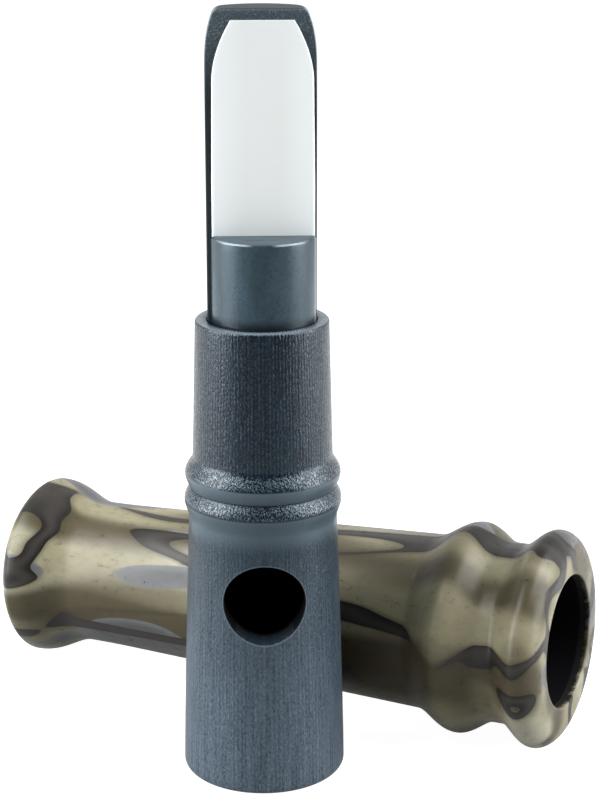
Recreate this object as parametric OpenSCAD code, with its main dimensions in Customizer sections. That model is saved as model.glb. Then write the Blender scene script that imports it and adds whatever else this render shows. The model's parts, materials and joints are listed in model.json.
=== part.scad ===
// A bird call taken apart: the call body stands on its open end with the guts in its plug,
// and the barrel lies on its side behind it.
// Millimetres, +Z up. The origin is the middle of the call body's base. The port, the reed
// and the wedge face -Y.

/* [Call body] */
// Length of the grip, from the base up to the neck under the beads
grip_l = 39; // [36:0.5:46]
// Diameter of the base
base_d = 23.74; // [22.6:0.02:25.6]
// Round along the edge of the base
base_round = 1.05; // [0.5:0.05:2]
// Diameter of the neck under the beads
neck_d = 21.4; // [20.8:0.1:22.2]
// Curve of the grip's taper, where 1 is a straight cone
grip_curve = 1.2; // [1:0.05:1.6]
// Diameter of the lower bead
low_bead_d = 22.68; // [22.3:0.02:24]
// Rise from the neck to the lower bead
low_bead_rise = 2.8; // [2:0.1:4]
// Diameter at the bottom of the groove between the beads
bead_groove_d = 20.96; // [20.2:0.02:21.6]
// Distance from the lower bead to the groove
groove_below = 1.9; // [1.2:0.1:3]
// Diameter of the upper bead
high_bead_d = 22.4; // [22:0.02:23.6]
// Distance from the groove to the upper bead
groove_above = 2; // [1.2:0.1:3]
// Fall from the upper bead to the plug
high_bead_fall = 2.8; // [2:0.1:4]

/* [Plug and bores of the call body] */
// Length of the plug that the barrel goes over
plug_l = 19.7; // [17:0.1:22]
// Diameter of the plug where it starts
plug_d = 20.1; // [19.6:0.1:20.8]
// Diameter of the plug at its rim
plug_rim_d = 19; // [18.4:0.1:19.4]
// Round along the rim of the plug
rim_round = 0.4; // [0.2:0.05:0.6]
// Diameter of the socket that holds the guts
socket_d = 15.56; // [15.2:0.02:16]
// Depth of the socket, from the rim down to the shoulder
socket_depth = 30.2; // [27:0.1:32]
// Bevel at the mouth of the socket
socket_bevel = 0.2; // [0.1:0.05:0.4]
// Diameter of the bore at the open end
exit_d = 14; // [13:0.1:14.4]
// Bevel at the open end
exit_bevel = 0.6; // [0.3:0.1:1]
// Length of the straight bore above the open end
exit_l = 21; // [18:0.5:22]
// Diameter of the chamber under the shoulder
chamber_d = 14.4; // [14.2:0.1:14.8]
// Diameter of the port in the side
port_d = 11.6; // [8:0.1:13]
// Height of the port's centre
port_z = 29; // [26:0.1:30]

/* [Guts] */
// Clearance round the tone board in the socket, on the radius
guts_clear = 0.08; // [0.05:0.01:0.14]
// Length of the tone board
board_l = 73.2; // [70:0.1:80]
// Distance from the middle of the tone board to its flat face
face_in = 1; // [0.6:0.1:2]
// Length of the ramp that falls away under the reed's tip
ramp_l = 27.2; // [20:0.1:30]
// Drop of the ramp at the tip of the tone board
ramp_drop = 1.6; // [1:0.1:2.4]
// Length over which the tip of the tone board draws in
tip_l = 8.6; // [7:0.1:12]
// How far the tip draws in on each side
tip_in = 1.4; // [1:0.1:2]
// Corner radius of the tip
tip_corner_r = 1.3; // [0.8:0.1:2]
// Round along the back edge of the tip
tip_back_round = 0.5; // [0.3:0.1:1.2]
// Bevel along the lower edge of the tone board
board_bevel = 0.4; // [0.2:0.1:0.8]
// Width of the tone channel
channel_w = 6; // [5:0.1:7]
// Depth of the tone channel
channel_depth = 5.2; // [4.6:0.1:6]
// Distance from the end of the tone channel to the tip
channel_end = 15.5; // [13:0.5:20]

/* [Reed and wedge] */
// Thickness of the reed
reed_t = 0.3; // [0.2:0.05:0.4]
// Width of the reed
reed_w = 14.28; // [13.6:0.02:14.4]
// Width of the reed at its squared tip
reed_tip_w = 8.7; // [7:0.1:10]
// Length of the reed's straight taper below its curved tip
reed_taper_l = 14; // [8:0.5:18]
// How far the reed narrows over that taper on each side
reed_taper_in = 0.17; // [0:0.01:0.4]
// Length of the reed's curved tip
reed_curve_l = 8.3; // [6:0.1:10]
// Distance from the reed's tip to the tip of the tone board
reed_back = 1.4; // [0.6:0.1:3]
// Length of the wedge
wedge_l = 42.25; // [38:0.05:44]
// Diameter of the wedge
wedge_d = 14.8; // [14.4:0.02:14.84]
// Bevel along the edges of the wedge
wedge_bevel = 0.35; // [0.2:0.05:0.6]
// How far the wedge's round lies in front of the middle of the socket
wedge_out = 0.2; // [0.1:0.01:0.22]
// How far the reed and the wedge are set to the right of the middle
set_over = 0.25; // [0:0.01:0.26]

/* [Barrel] */
// Length of the barrel
barrel_l = 93; // [90:0.5:100]
// Diameter of the flange
flange_d = 33.1; // [32:0.1:35]
// Distance from the flange's face to its widest ring
flange_crown = 3.2; // [2.6:0.1:4]
// Diameter of the flat part of the flange's face
flange_flat_d = 24.8; // [24:0.1:27]
// Diameter at the bottom of the lanyard groove
lanyard_d = 27.5; // [26:0.1:28.6]
// Length of the straight bottom of the lanyard groove
lanyard_l = 1.6; // [1:0.1:2.4]
// Length of the slope between the flange and the lanyard groove
flange_slope = 5; // [4:0.1:6]
// Diameter of the barrel's bead
ring_d = 32.5; // [32:0.1:34.4]
// Length of the bead's slope on the side of the lanyard groove
ring_rise = 5.6; // [4.6:0.1:7]
// Length of the bead's slope on the side of the tube
ring_fall = 6.7; // [5:0.1:8]
// Diameter of the tube beside the bead
tube_d = 27; // [26.4:0.1:28]
// Diameter of the waist
waist_d = 23; // [22.4:0.1:24]
// Length over which the tube's taper levels out at the waist
waist_round_l = 7.8; // [4:0.2:14]
// Length of the flare, from the waist to the lip
flare_l = 9.6; // [7:0.1:12]
// Diameter of the lip
lip_d = 28.8; // [28:0.1:30.4]
// Distance from the widest part of the lip to the mouth end
lip_end = 2.6; // [2:0.1:4]
// Outer diameter of the mouth end's flat ring
mouth_flat_d = 23.4; // [22:0.1:24.4]
// Inner diameter of the mouth end's flat ring
mouth_d = 20; // [18.6:0.1:21]
// Length of the mouth's rounded way in
mouth_l = 3; // [2:0.1:4]
// Diameter of the barrel's bore
barrel_bore_d = 16.8; // [16.4:0.1:17.4]
// Clearance of the barrel's socket round the plug, on the radius
plug_clear = 0.05; // [0.04:0.01:0.08]
// Room between the plug's rim and the end of the barrel's socket
plug_room = 0.8; // [0.5:0.1:1.5]
// Bevel at the mouth of the barrel's socket
barrel_bevel = 0.25; // [0.15:0.05:0.4]
// Length of the cone between the barrel's socket and its bore
step_l = 1.8; // [1:0.1:3]

/* [Barrel at rest] */
// Turn of the barrel from the left, on the surface it lies on
lie_yaw = 27.3; // [20:0.1:35]
// Gap between the lying barrel and the call body
lie_gap = 0.38; // [0.32:0.02:1.5]
// Distance along the barrel from its flange to the call body
lie_along = 38.9; // [30:0.1:50]

/* [Hidden] */

// Facets round a circle, points along a curve and points along a small round
$fn = 96;
curve_steps = 10;
round_steps = 5;
// Overrun of every cut
over = 1;
// Angle at which the tip's corner meets its drawn-in side
corner_meet = 25;
// Powers of the reed's tip curve and the drawn-in tip
reed_curve_power = 1.9;
tip_power = 3;

// Heights along the call body
low_bead_z = grip_l + low_bead_rise;
bead_groove_z = low_bead_z + groove_below;
high_bead_z = bead_groove_z + groove_above;
plug_z = high_bead_z + high_bead_fall;
body_h = plug_z + plug_l;
shoulder_z = body_h - socket_depth;

// The guts stand on the shoulder of the socket
board_d = socket_d - 2 * guts_clear;
board_top = shoulder_z + board_l;
reed_top = board_top - reed_back;
wedge_back = face_in + reed_t;

// Stations along the barrel, from the flange's face
lanyard_s = flange_crown + flange_slope;
ring_s = lanyard_s + lanyard_l + ring_rise;
tube_s = ring_s + ring_fall;
lip_s = barrel_l - lip_end;
waist_s = lip_s - flare_l;
barrel_socket_d = plug_d + 2 * plug_clear;
barrel_socket_l = plug_l + plug_room;

// The lying barrel touches the surface with its lip, and with its flange or its bead
flange_tilt = atan((flange_d - lip_d) / 2 / (lip_s - flange_crown));
ring_tilt = atan((ring_d - lip_d) / 2 / (lip_s - ring_s));
lie_tilt = max(flange_tilt, ring_tilt);
lie_z = lip_d / 2 * cos(lie_tilt) + lip_s * sin(lie_tilt);
tube_slope = (tube_d - waist_d) / 2 / (waist_s - waist_round_l / 2 - tube_s);
lie_reach = base_d / 2 - (base_d - neck_d) / 2 * pow(lie_z / grip_l, grip_curve)
    + tube_d / 2 - tube_slope * (lie_along - tube_s) + lie_gap;

// Points from a to b, each [radius, height], level at both ends
function ease(a, b) = [for (i = [1 : curve_steps])
    let (t = i / curve_steps) [a[0] + (b[0] - a[0]) * (1 - cos(180 * t)) / 2, a[1] + (b[1] - a[1]) * t]];

// Points from a crown a to b, level at the crown
function fall(a, b) = [for (i = [1 : curve_steps])
    let (t = i / curve_steps) [b[0] + (a[0] - b[0]) * cos(90 * t), a[1] + (b[1] - a[1]) * t]];

// Points from a to a crown b, level at the crown
function climb(a, b) = [for (i = [1 : curve_steps])
    let (t = i / curve_steps) [a[0] + (b[0] - a[0]) * sin(90 * t), a[1] + (b[1] - a[1]) * t]];

// Points round a quarter ellipse from a to b, leaving a along the radius
function turn(a, b, steps) = [for (i = [1 : steps])
    let (t = 90 * i / steps) [a[0] + (b[0] - a[0]) * sin(t), a[1] + (b[1] - a[1]) * (1 - cos(t))]];

// Points round a quarter ellipse from a to b, leaving a along the height
function turn_in(a, b, steps) = [for (i = [1 : steps])
    let (t = 90 * i / steps) [a[0] + (b[0] - a[0]) * (1 - cos(t)), a[1] + (b[1] - a[1]) * sin(t)]];

// Points down a side that tapers from a to b by a power
function taper(a, b, power) = [for (i = [1 : curve_steps])
    let (t = i / curve_steps) [a[0] + (b[0] - a[0]) * pow(t, power), a[1] + (b[1] - a[1]) * t]];

// Points up to a waist b, where a straight taper levels out over a length l
function level_out(b, slope, l) = [for (i = [0 : curve_steps])
    let (d = l * (1 - i / curve_steps)) [b[0] + slope * d * d / (2 * l), b[1] - d]];

module insert() {
    base_edge = [base_d / 2 - base_round, 0];
    base_side = [base_d / 2, base_round];
    neck = [neck_d / 2, grip_l];
    low_bead = [low_bead_d / 2, low_bead_z];
    groove = [bead_groove_d / 2, bead_groove_z];
    high_bead = [high_bead_d / 2, high_bead_z];
    plug_start = [plug_d / 2, plug_z];
    rim_side = [plug_rim_d / 2, body_h - rim_round];
    rim_top = [plug_rim_d / 2 - rim_round, body_h];
    outside = concat(
        [base_edge], turn(base_edge, base_side, round_steps), taper(base_side, neck, grip_curve),
        ease(neck, low_bead), fall(low_bead, groove), climb(groove, high_bead),
        ease(high_bead, plug_start), [rim_side], turn_in(rim_side, rim_top, round_steps));
    inside = [
        [socket_d / 2 + socket_bevel, body_h], [socket_d / 2, body_h - socket_bevel],
        [socket_d / 2, shoulder_z], [chamber_d / 2, shoulder_z], [exit_d / 2, exit_l],
        [exit_d / 2, exit_bevel], [exit_d / 2 + exit_bevel, 0]];
    color("#4e5b68") difference() {
        rotate_extrude() polygon(concat(outside, inside));
        translate([0, 0, port_z]) rotate([90, 0, 0]) cylinder(h = base_d, d = port_d);
    }
}

// The front outline of the tone board, drawn in towards a tip with round corners
function side_at(down) = board_d / 2 - tip_in * pow(1 - down / tip_l, tip_power);
module board_outline() {
    meet = tip_corner_r * (1 - sin(corner_meet));
    corner_x = side_at(meet) - tip_corner_r * cos(corner_meet);
    corner = [for (i = [0 : curve_steps])
        let (a = 90 - (90 - corner_meet) * i / curve_steps)
        [corner_x + tip_corner_r * cos(a), board_top - tip_corner_r * (1 - sin(a))]];
    side = [for (i = [1 : curve_steps])
        let (down = meet + (tip_l - meet) * i / curve_steps) [side_at(down), board_top - down]];
    half = concat(corner, side, [[board_d / 2 + over, board_top - tip_l], [board_d / 2 + over, shoulder_z - over]]);
    polygon(concat(half, [for (i = [len(half) - 1 : -1 : 0]) [-half[i][0], half[i][1]]]));
}

module tone_board() {
    back_side = [board_d / 2, board_l - tip_back_round];
    back_top = [board_d / 2 - tip_back_round, board_l];
    rod = concat(
        [[0, 0], [board_d / 2 - board_bevel, 0], [board_d / 2, board_bevel], back_side],
        turn_in(back_side, back_top, round_steps), [[0, board_l]]);
    floor_y = channel_depth - face_in - channel_w / 2;
    channel_top = board_l - channel_end - channel_w / 2;
    ramp_more = ramp_drop * (1 + over / ramp_l);
    color("#303c46") difference() {
        intersection() {
            translate([0, 0, shoulder_z]) rotate_extrude() polygon(rod);
            rotate([90, 0, 0]) linear_extrude(height = 2 * board_d, center = true) board_outline();
        }
        // The flat face that the reed lies on, and the ramp under its tip
        translate([-board_d, -board_d - face_in, shoulder_z - over])
            cube([2 * board_d, board_d, board_l + 2 * over]);
        rotate([90, 0, 90]) linear_extrude(height = 2 * board_d, center = true) polygon([
            [-board_d, board_top - ramp_l], [-face_in, board_top - ramp_l],
            [ramp_more - face_in, board_top + over], [-board_d, board_top + over]]);
        // The tone channel, a round-bottomed trough that opens into the call body
        translate([0, floor_y, shoulder_z - over]) {
            cylinder(h = channel_top + over, d = channel_w);
            translate([-channel_w / 2, -board_d, 0]) cube([channel_w, board_d, channel_top + over]);
            translate([0, 0, channel_top + over]) {
                sphere(d = channel_w);
                rotate([90, 0, 0]) cylinder(h = board_d, d = channel_w);
            }
        }
    }
}

module reed() {
    curve_z = reed_top - reed_curve_l;
    narrow = reed_w / 2 - reed_taper_in;
    curve = [for (i = [0 : curve_steps])
        let (t = i / curve_steps)
        [narrow - (narrow - reed_tip_w / 2) * pow(t, reed_curve_power), curve_z + reed_curve_l * t]];
    half = concat([[reed_w / 2, shoulder_z], [reed_w / 2, curve_z - reed_taper_l]], curve);
    color("#e6eeee") translate([set_over, -face_in, 0]) rotate([90, 0, 0]) linear_extrude(height = reed_t)
        polygon(concat(half, [for (i = [len(half) - 1 : -1 : 0]) [-half[i][0], half[i][1]]]));
}

module wedge() {
    color("#3f4e5a") translate([set_over, 0, shoulder_z]) intersection() {
        translate([0, -wedge_out, 0]) rotate_extrude() polygon([
            [0, 0], [wedge_d / 2 - wedge_bevel, 0], [wedge_d / 2, wedge_bevel],
            [wedge_d / 2, wedge_l - wedge_bevel], [wedge_d / 2 - wedge_bevel, wedge_l], [0, wedge_l]]);
        translate([-wedge_d, -wedge_d - wedge_back, -over]) cube([2 * wedge_d, wedge_d, wedge_l + 2 * over]);
    }
}

// The barrel upright, with its flange's face at zero
module barrel_turned() {
    flat_edge = [flange_flat_d / 2, 0];
    flange = [flange_d / 2, flange_crown];
    groove_near = [lanyard_d / 2, lanyard_s];
    groove_far = [lanyard_d / 2, lanyard_s + lanyard_l];
    ring = [ring_d / 2, ring_s];
    tube = [tube_d / 2, tube_s];
    waist = [waist_d / 2, waist_s];
    lip = [lip_d / 2, lip_s];
    mouth_flat = [mouth_flat_d / 2, barrel_l];
    mouth_edge = [mouth_d / 2, barrel_l];
    throat = [barrel_bore_d / 2, barrel_l - mouth_l];
    outside = concat(
        [flat_edge], turn(flat_edge, flange, curve_steps), ease(flange, groove_near), [groove_far],
        ease(groove_far, ring), ease(ring, tube), level_out(waist, tube_slope, waist_round_l), ease(waist, lip),
        fall(lip, mouth_flat));
    inside = concat(
        [mouth_edge], turn(mouth_edge, throat, round_steps),
        [[barrel_bore_d / 2, barrel_socket_l + step_l], [barrel_socket_d / 2, barrel_socket_l],
        [barrel_socket_d / 2, barrel_bevel], [barrel_socket_d / 2 + barrel_bevel, 0]]);
    rotate_extrude() polygon(concat(outside, inside));
}

module barrel() {
    color("#8f8d6c")
        translate([
            lie_reach * sin(lie_yaw) + lie_along * cos(lie_yaw),
            lie_reach * cos(lie_yaw) - lie_along * sin(lie_yaw), lie_z])
        rotate([0, 0, -lie_yaw]) rotate([0, -90 - lie_tilt, 0]) barrel_turned();
}

insert();
tone_board();
reed();
wedge();
barrel();
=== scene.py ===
"""A bird call taken apart. The call body stands on its open end with the tone board, the reed and
the wedge in its socket, and the camouflage-patterned barrel lies behind it.

Metres, +Z up. The port, the reed and the wedge face -Y. Every surface is a profile carried round
an axis or a section carried along one, worked out as whole arrays.
"""

import json
from math import pi, radians

import bmesh
import bpy
import numpy as np
from bpy.props import FloatProperty, FloatVectorProperty, PointerProperty
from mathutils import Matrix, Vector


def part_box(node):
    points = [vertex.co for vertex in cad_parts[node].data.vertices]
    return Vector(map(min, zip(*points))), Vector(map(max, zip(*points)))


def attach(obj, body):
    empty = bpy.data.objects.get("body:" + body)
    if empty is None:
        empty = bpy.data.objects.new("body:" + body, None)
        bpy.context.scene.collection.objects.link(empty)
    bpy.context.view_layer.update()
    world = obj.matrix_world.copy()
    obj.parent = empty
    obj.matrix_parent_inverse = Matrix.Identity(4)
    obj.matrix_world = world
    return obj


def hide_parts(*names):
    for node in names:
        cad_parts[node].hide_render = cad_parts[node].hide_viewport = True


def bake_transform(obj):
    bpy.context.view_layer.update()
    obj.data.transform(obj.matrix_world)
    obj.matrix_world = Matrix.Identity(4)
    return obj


bl_info = {
    "name": "Bird call",
    "version": (1, 0, 0),
    "blender": (4, 5, 0),
    "location": "View3D > Sidebar > Bird call",
    "description": "Builds the pieces of a bird call that is taken apart, and the stage it stands on",
    "category": "Object",
}

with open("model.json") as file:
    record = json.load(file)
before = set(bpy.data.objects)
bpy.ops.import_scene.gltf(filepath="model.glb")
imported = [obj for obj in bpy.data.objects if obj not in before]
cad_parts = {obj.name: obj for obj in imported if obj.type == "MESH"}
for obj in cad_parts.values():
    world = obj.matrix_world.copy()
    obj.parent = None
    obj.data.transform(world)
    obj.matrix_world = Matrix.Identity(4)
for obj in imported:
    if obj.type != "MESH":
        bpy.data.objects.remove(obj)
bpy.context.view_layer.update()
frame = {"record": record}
MOUNTS = {mount["name"]: mount for mount in frame["record"]["mounts"]}
BODY_LOW, BODY_HIGH = (np.array(corner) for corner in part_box("insert"))
BOARD_LOW, BOARD_HIGH = (np.array(corner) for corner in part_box("tone_board"))
REED_LOW, REED_HIGH = (np.array(corner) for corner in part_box("reed"))
WEDGE_LOW, WEDGE_HIGH = (np.array(corner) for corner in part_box("wedge"))
MM = 0.001
# Heights on the call body: its beads' crowns, the groove between them and the foot of the plug.
LOW_BEAD, BEAD_GROOVE, HIGH_BEAD, PLUG_FOOT = 41.8 * MM, 43.7 * MM, 45.7 * MM, 48.5 * MM
# The round along the inner edge of the barrel's socket.
SOCKET_BEVEL = 0.25 * MM


def size(name, words, value, high=200):
    """A length that a user would change, given in millimetres and kept in metres."""
    return FloatProperty(name=name, description=words, default=value * MM, min=0.0, max=high * MM,
                         subtype="DISTANCE", unit="LENGTH", precision=5)


def tone(name, words, value):
    """A colour that a user would change, in linear light."""
    return FloatVectorProperty(name=name, description=words, default=value, size=3, min=0.0, max=1.0,
                               subtype="COLOR")


def share(name, words, value, high=1.0):
    """A plain number that a user would change."""
    return FloatProperty(name=name, description=words, default=value, min=0.0, max=high, subtype="FACTOR")


def times(color, factor, more=0.0):
    """A colour times a factor, and a little more."""
    return tuple(min(1.0, factor * c + more) for c in color)


class CallBodyValues(bpy.types.PropertyGroup):
    """Sizes and colours of the call body."""

    base_d: size("Base", "Diameter of the base", float(BODY_HIGH[0] - BODY_LOW[0]) / MM)
    base_round: size("Base round", "Round along the edge of the base", 1.05)
    grip_l: size("Grip", "Height of the neck under the beads", 39)
    neck_d: size("Neck", "Diameter of the neck under the beads", 21.4)
    low_bead_d: size("Lower bead", "Diameter of the lower bead", 22.68)
    groove_d: size("Groove", "Diameter of the groove between the beads", 20.96)
    high_bead_d: size("Upper bead", "Diameter of the upper bead", 22.4)
    plug_d: size("Plug", "Diameter of the plug where it starts", 20.1)
    rim_d: size("Rim", "Diameter of the plug at its rim", 19)
    socket_d: size("Socket", "Diameter of the socket for the guts", 15.56)
    exit_d: size("Exit bore", "Diameter of the bore at the open end", 14)
    port_d: size("Port", "Diameter of the port in the side", 11.6)
    port_z: size("Port height", "Height of the port's centre", 29)
    grip_tone: tone("Grip", "Colour of the plastic low on the grip", (0.057, 0.079, 0.103))
    # The plug's colour is the grip's plastic darkened by painted shade.
    plug_tone: tone("Plug", "Colour of the plastic on the plug", (0.0030, 0.0085, 0.0150))
    score_w: size("Score width", "Spacing of the fine scores along the call body", 0.3)
    score_depth: size("Score depth", "Depth of the fine scores", 0.11)
    hatch_lines: FloatProperty(name="Hatch lines", description="Number of fine lines round the plug",
                               default=124.0, min=20.0, max=400.0)


class GutsValues(bpy.types.PropertyGroup):
    """Sizes and colours of the tone board, the reed and the wedge."""

    ramp_l: size("Ramp", "Length of the ramp under the reed's tip", 27.2)
    ramp_drop: size("Ramp drop", "Drop of the ramp at the tip", 1.6)
    tip_l: size("Tip", "Length over which the tone board's tip draws in", 8.6)
    tip_in: size("Tip draw", "How far the tip draws in on each side", 1.4)
    tip_corner_r: size("Tip corner", "Corner radius of the tip", 1.3)
    channel_w: size("Channel", "Width of the tone channel", 6)
    channel_depth: size("Channel depth", "Depth of the tone channel", 5.2)
    channel_end: size("Channel end", "Distance from the end of the tone channel to the tip", 15.5)
    reed_tip_w: size("Reed tip", "Width of the reed at its squared tip", 8.7)
    reed_curve_l: size("Reed curve", "Length of the reed's curved tip", 8.3)
    reed_taper_l: size("Reed taper", "Length of the reed's straight taper", 14)
    reed_taper_in: size("Reed taper depth", "How far the reed narrows on each side", 0.17)
    wedge_d: size("Wedge", "Diameter of the wedge's round", 14.8)
    wedge_out: size("Wedge offset", "How far the wedge's round lies in front of the middle", 0.2)
    wedge_bevel: size("Wedge round", "Round along the wedge's top edge", 0.35)
    board_tone: tone("Tone board", "Colour of the tone board", (0.016, 0.024, 0.030))
    reed_tone: tone("Reed", "Colour of the reed's film", (0.675, 0.705, 0.705))
    wedge_tone: tone("Wedge", "Colour of the wedge", (0.022, 0.038, 0.050))


class BarrelValues(bpy.types.PropertyGroup):
    """Sizes and colours of the barrel."""

    length: size("Length", "Length of the barrel", 93)
    flange_d: size("Flange", "Diameter of the flange", 33.1)
    flange_crown: size("Flange crown", "Distance from the flange's face to its widest ring", 3.2)
    flange_flat_d: size("Flange face", "Diameter of the flat part of the flange's face", 24.8)
    flange_slope: size("Flange slope", "Length of the slope behind the flange", 5)
    groove_d: size("Lanyard groove", "Diameter of the lanyard groove", 27.5)
    groove_l: size("Groove length", "Length of the lanyard groove's straight bottom", 1.6)
    bead_d: size("Bead", "Diameter of the bead", 32.5)
    bead_rise: size("Bead rise", "Length of the bead's slope towards the lanyard groove", 5.6)
    bead_fall: size("Bead fall", "Length of the bead's slope towards the tube", 6.7)
    tube_d: size("Tube", "Diameter of the tube beside the bead", 27)
    waist_d: size("Waist", "Diameter of the waist", 23)
    waist_round_l: size("Waist round", "Length over which the taper levels out", 7.8)
    flare_l: size("Flare", "Length of the flare from the waist to the lip", 9.6)
    lip_d: size("Lip", "Diameter of the lip", 28.8)
    lip_end: size("Lip end", "Distance from the widest part of the lip to the mouth end", 2.6)
    mouth_flat_d: size("Mouth face", "Outer diameter of the mouth end's flat ring", 23.4)
    mouth_d: size("Mouth", "Inner diameter of the mouth end's flat ring", 20)
    mouth_l: size("Mouth round", "Length of the mouth's rounded way in", 3)
    patch_l: size("Patch size", "Size of the camouflage pattern's patches", 17)
    khaki: tone("Khaki", "Main colour of the camouflage", (0.220, 0.204, 0.132))
    cream: tone("Cream", "Lightest colour of the camouflage", (0.365, 0.362, 0.288))
    olive: tone("Olive", "Brown olive shade of the camouflage", (0.060, 0.050, 0.028))
    grey: tone("Grey", "Grey patches of the camouflage", (0.110, 0.114, 0.118))
    charcoal: tone("Charcoal", "Dark streaks of the camouflage", (0.010, 0.009, 0.008))


class StageValues(bpy.types.PropertyGroup):
    """Strengths and places of the lamps, and the floor."""

    high_power: FloatProperty(name="High lamps", description="Power of each high lamp in watts",
                              default=3.0, min=0.0, max=40.0)
    side_power: FloatProperty(name="Side lamps", description="Power of each side lamp in watts",
                              default=3.8, min=0.0, max=20.0)
    high_away: size("High lamp distance", "Distance of the high lamps from the call", 600, 2000)
    side_away: size("Side lamp distance", "Distance of the side lamps from the call", 420, 2000)
    floor_tone: tone("Floor", "Colour of the floor under the light", (0.34, 0.34, 0.34))
    floor_white: share("Floor white", "How white the floor looks on its own", 0.97)
    fill: share("Fill", "Strength of the even light from all round", 0.045, 2.0)
    lens: FloatProperty(name="Lens", description="Focal length of the camera in millimetres",
                        default=94.5, min=20.0, max=300.0)


# Curves of a profile take points a and b as (radius, height) and give n points after a.


def steps(n):
    """The shares 1/n, 2/n, ... 1 of a way."""
    return np.arange(1, n + 1) / n


def curve(a, b, across, along, n):
    """Points from a to b, with the radius following across(t) and the height along(t)."""
    t = steps(n)
    return np.column_stack([a[0] + (b[0] - a[0]) * across(t), a[1] + (b[1] - a[1]) * along(t)])


# How a coordinate goes from 0 to 1: evenly, slowing down or gaining speed.


def even(t):
    return t


def slowing(t):
    return np.sin(pi * t / 2)


def gaining(t):
    return 1 - np.cos(pi * t / 2)


def ease(a, b, n=20):
    """Level at both ends: the radius goes by (1 - cos(pi t)) / 2."""
    return curve(a, b, lambda t: (1 - np.cos(pi * t)) / 2, even, n)


def fall(a, b, n=16):
    """Level at the crown a: the radius goes by 1 - cos(pi t / 2)."""
    return curve(a, b, gaining, even, n)


def climb(a, b, n=16):
    """Level at the crown b: the radius goes by sin(pi t / 2)."""
    return curve(a, b, slowing, even, n)


def turn(a, b, n=10):
    """A quarter ellipse that leaves a along the radius."""
    return curve(a, b, slowing, gaining, n)


def turn_in(a, b, n=10):
    """A quarter ellipse that leaves a along the height."""
    return curve(a, b, gaining, slowing, n)


def line(a, b, n=8):
    """A straight line."""
    return curve(a, b, even, even, n)


def points(x, y, z):
    """Points from their coordinates, each spread over the same grid."""
    return np.stack(np.broadcast_arrays(x, y, z), axis=-1)


def lathe(profile, columns):
    """A profile of (radius, height) round Z: x = r sin(a), y = -r cos(a), with a = 0 facing -Y."""
    angle = -pi + 2 * pi * np.arange(columns) / columns
    radius, height = profile[:, :1], profile[:, 1:]
    return points(radius * np.sin(angle), -radius * np.cos(angle), height)


def put(name, data):
    """An object for a mesh, a lamp or a camera, linked to the scene."""
    thing = bpy.data.objects.new(name, data)
    bpy.context.scene.collection.objects.link(thing)
    return thing


def quads_between(index):
    """The quads between the neighbours of a grid of point numbers."""
    return np.stack([index[:-1, :-1], index[:-1, 1:], index[1:, 1:], index[1:, :-1]], axis=-1)


class Shell:
    """A closed surface in the making, from grids of points and flat caps."""

    def __init__(self):
        self.points, self.quads, self.caps, self.count = [], [], [], 0

    def grid(self, spots, round_columns=False, round_rows=False, keep=None):
        """Quads between the neighbours of a grid of points, closed where the columns or rows come
        round. keep is a mask of the quads that stay."""
        rows, columns = spots.shape[:2]
        index = self.count + np.arange(rows * columns).reshape(rows, columns)
        if round_columns:
            index = np.concatenate([index, index[:, :1]], axis=1)
        if round_rows:
            index = np.concatenate([index, index[:1]], axis=0)
        quads = quads_between(index)
        self.quads.append(quads[keep] if keep is not None else quads.reshape(-1, 4))
        self.points.append(spots.reshape(-1, 3))
        self.count += rows * columns

    def cap(self, ring):
        """One flat face over a ring of points."""
        self.caps.append(list(range(self.count, self.count + len(ring))))
        self.points.append(ring)
        self.count += len(ring)

    def piece(self, name, sharp=35.0):
        """The object: seams merged, faces without area dropped, normals outwards, smooth shading
        with edges kept sharp where the faces meet at more than the angle given."""
        mesh = bpy.data.meshes.new(name)
        faces = np.concatenate(self.quads).tolist() + self.caps
        mesh.from_pydata(np.concatenate(self.points).tolist(), [], faces)
        work = bmesh.new()
        work.from_mesh(mesh)
        bmesh.ops.remove_doubles(work, verts=work.verts, dist=2e-7)
        bmesh.ops.dissolve_degenerate(work, edges=work.edges, dist=1e-7)
        bmesh.ops.recalc_face_normals(work, faces=work.faces)
        work.to_mesh(mesh)
        work.free()
        mesh.shade_smooth()
        mesh.set_sharp_from_angle(angle=radians(sharp))
        return put(name, mesh)


def rod(rings):
    """A closed surface from a stack of rings, with a flat cap at each end."""
    shell = Shell()
    shell.grid(rings, round_columns=True)
    shell.cap(rings[0])
    shell.cap(rings[-1])
    return shell


def face_middles(piece):
    """The middle of each face."""
    middles = np.empty(len(piece.data.polygons) * 3)
    piece.data.polygons.foreach_get("center", middles)
    return middles.reshape(-1, 3)


def both_ways(operation):
    """An operator's method, and its form for a plain number on the left."""
    return (lambda self, other: self.maths(operation, self, other),
            lambda self, other: self.maths(operation, other, self))


class Wire:
    """A number, place or colour that runs through the nodes. Sums on a number add Math nodes."""

    def __init__(self, finish, socket):
        self.finish, self.socket = finish, socket

    def maths(self, operation, *values):
        """One Math node."""
        return self.finish.node("ShaderNodeMath", {"operation": operation}, *values)

    __add__, __radd__ = both_ways("ADD")
    __sub__, __rsub__ = both_ways("SUBTRACT")
    __mul__, __rmul__ = both_ways("MULTIPLY")
    __truediv__, __rtruediv__ = both_ways("DIVIDE")

    def __pow__(self, other):
        return self.maths("POWER", self, other)

    def __neg__(self):
        return self.maths("MULTIPLY", self, -1.0)

    def __abs__(self):
        return self.maths("ABSOLUTE", self)

    def step(self, low, high):
        """0 up to low, 1 from high on and smooth between."""
        return self.finish.node("ShaderNodeMapRange", {"interpolation_type": "SMOOTHSTEP"},
                                self, low, high, 0.0, 1.0)

    def past(self, place, start, full):
        """0 up to place + start and 1 from place + full on, with start and full in millimetres."""
        return self.step(place + start * MM, place + full * MM)

    def zone(self, low, start, full, high, fade, end):
        """1 from low + full to high + fade, and 0 beyond low + start and high + end."""
        return self.past(low, start, full) * (1 - self.past(high, fade, end))


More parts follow.
